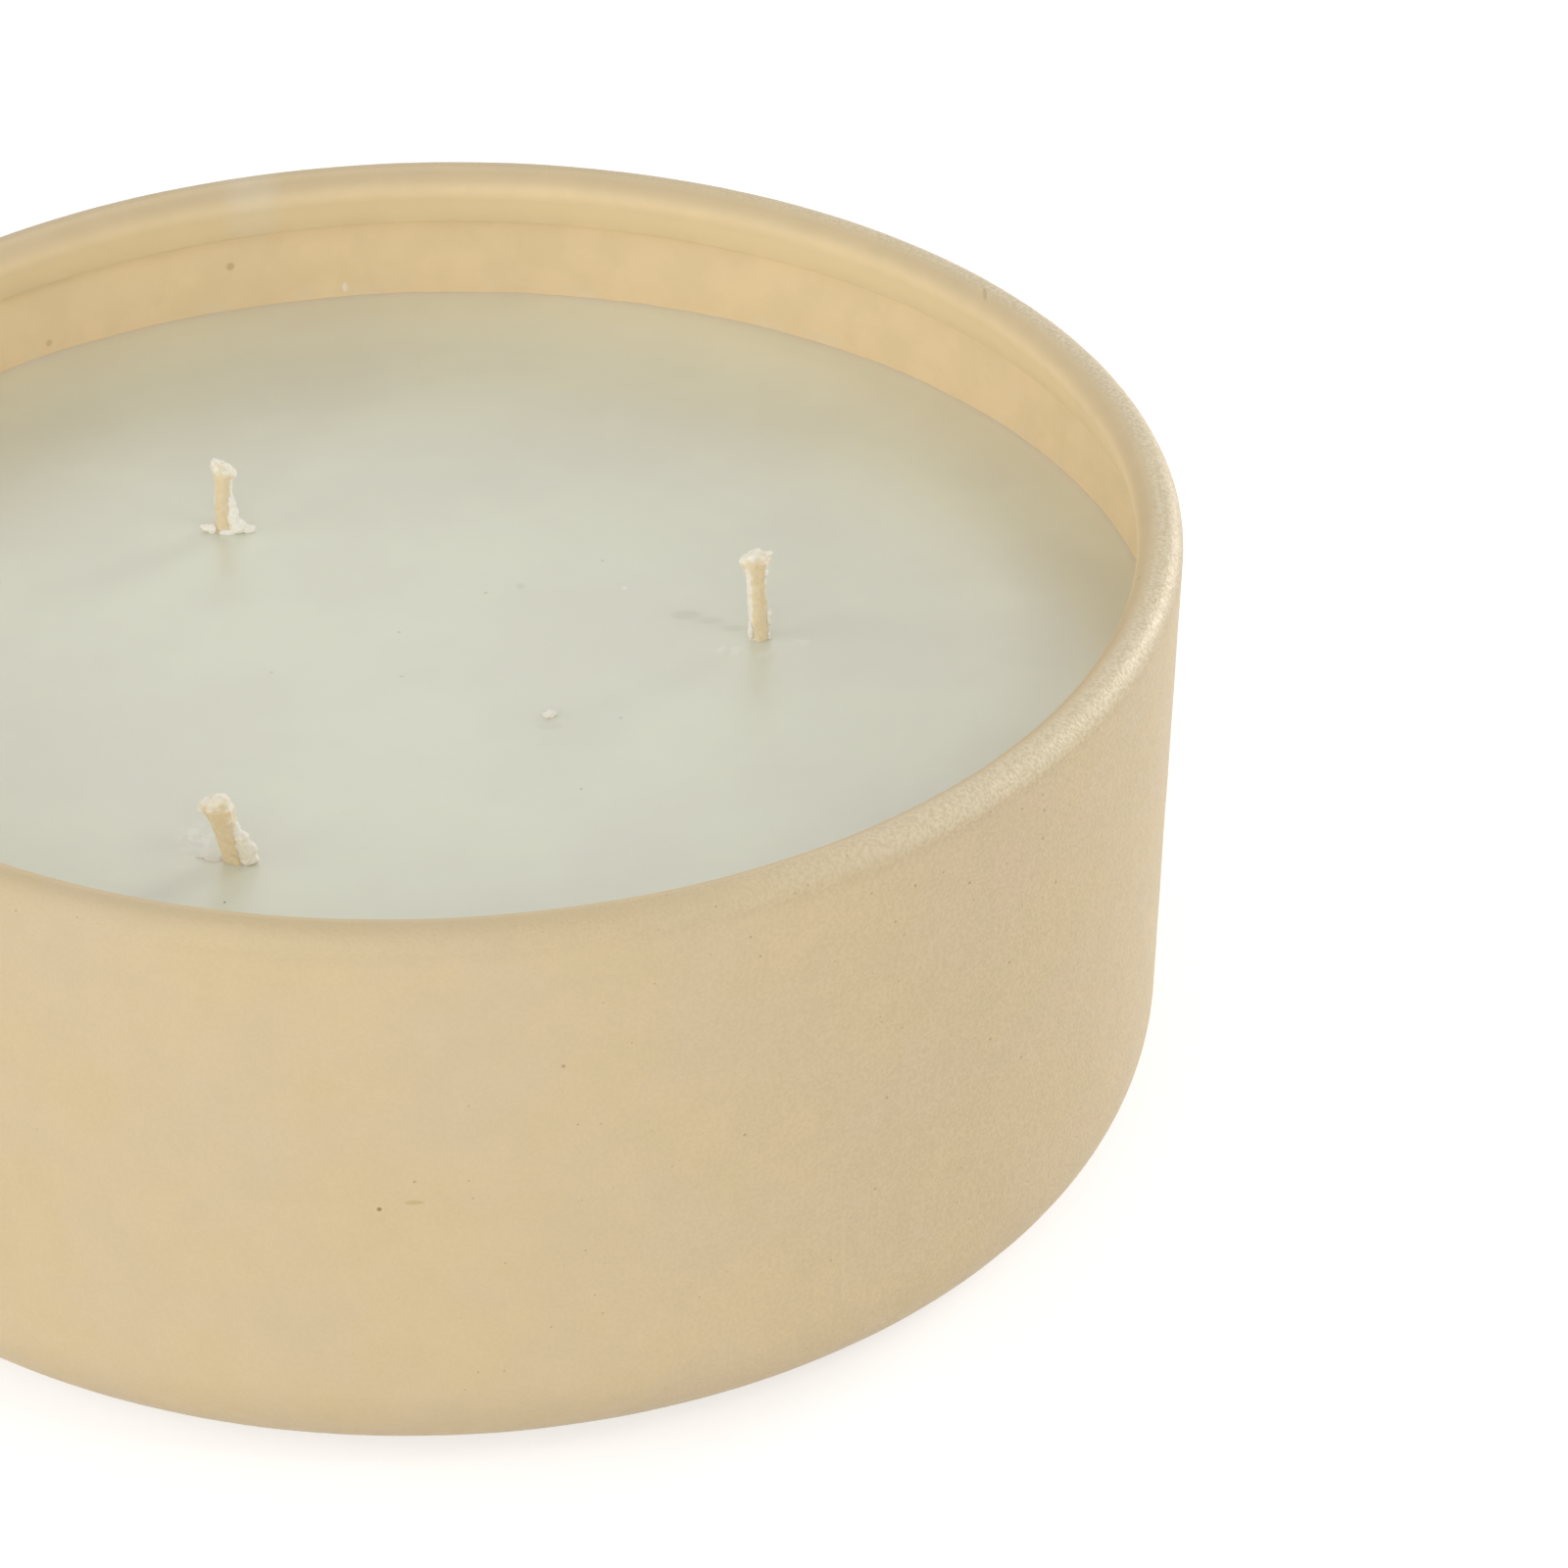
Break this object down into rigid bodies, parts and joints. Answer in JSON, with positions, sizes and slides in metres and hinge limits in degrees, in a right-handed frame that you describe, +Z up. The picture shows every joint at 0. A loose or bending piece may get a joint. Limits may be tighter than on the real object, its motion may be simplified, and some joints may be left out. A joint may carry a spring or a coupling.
{
  "type": "metal_container_candle",
  "caption": "Low round metal bowl candle with a rolled rim, champagne-gold finish, ivory wax and waxed cotton wicks standing in it",
  "frame": {"origin": "centre of the foot, on the surface that the candle stands on", "axes": "+Z up through the bowl's axis, +X to the right of the picture, +Y away from its camera"},
  "size_m": [0.15, 0.15, 0.064],
  "materials": {
    "gold_metal": "champagne-gold satin coat with a very fine grain, rough outside and smooth inside",
    "wax": "pale grey-green ivory wax, semi-gloss, faintly translucent",
    "wick_cotton": "cream braided cotton soaked in wax",
    "tinned_steel": "stamped tinned steel, not seen",
    "adhesive_pad": "white foam adhesive pad, not seen"
  },
  "bodies": {
    "root": {"vessel": "gold_metal", "wax_fill": "wax", "wick_back_left": "wick_cotton", "wick_right": "wick_cotton", "wick_front_left": "wick_cotton", "wick_tab_back_left": "tinned_steel", "wick_tab_right": "tinned_steel", "wick_tab_front_left": "tinned_steel", "wick_pad_back_left": "adhesive_pad", "wick_pad_right": "adhesive_pad", "wick_pad_front_left": "adhesive_pad"}
  },
  "joints": []
}
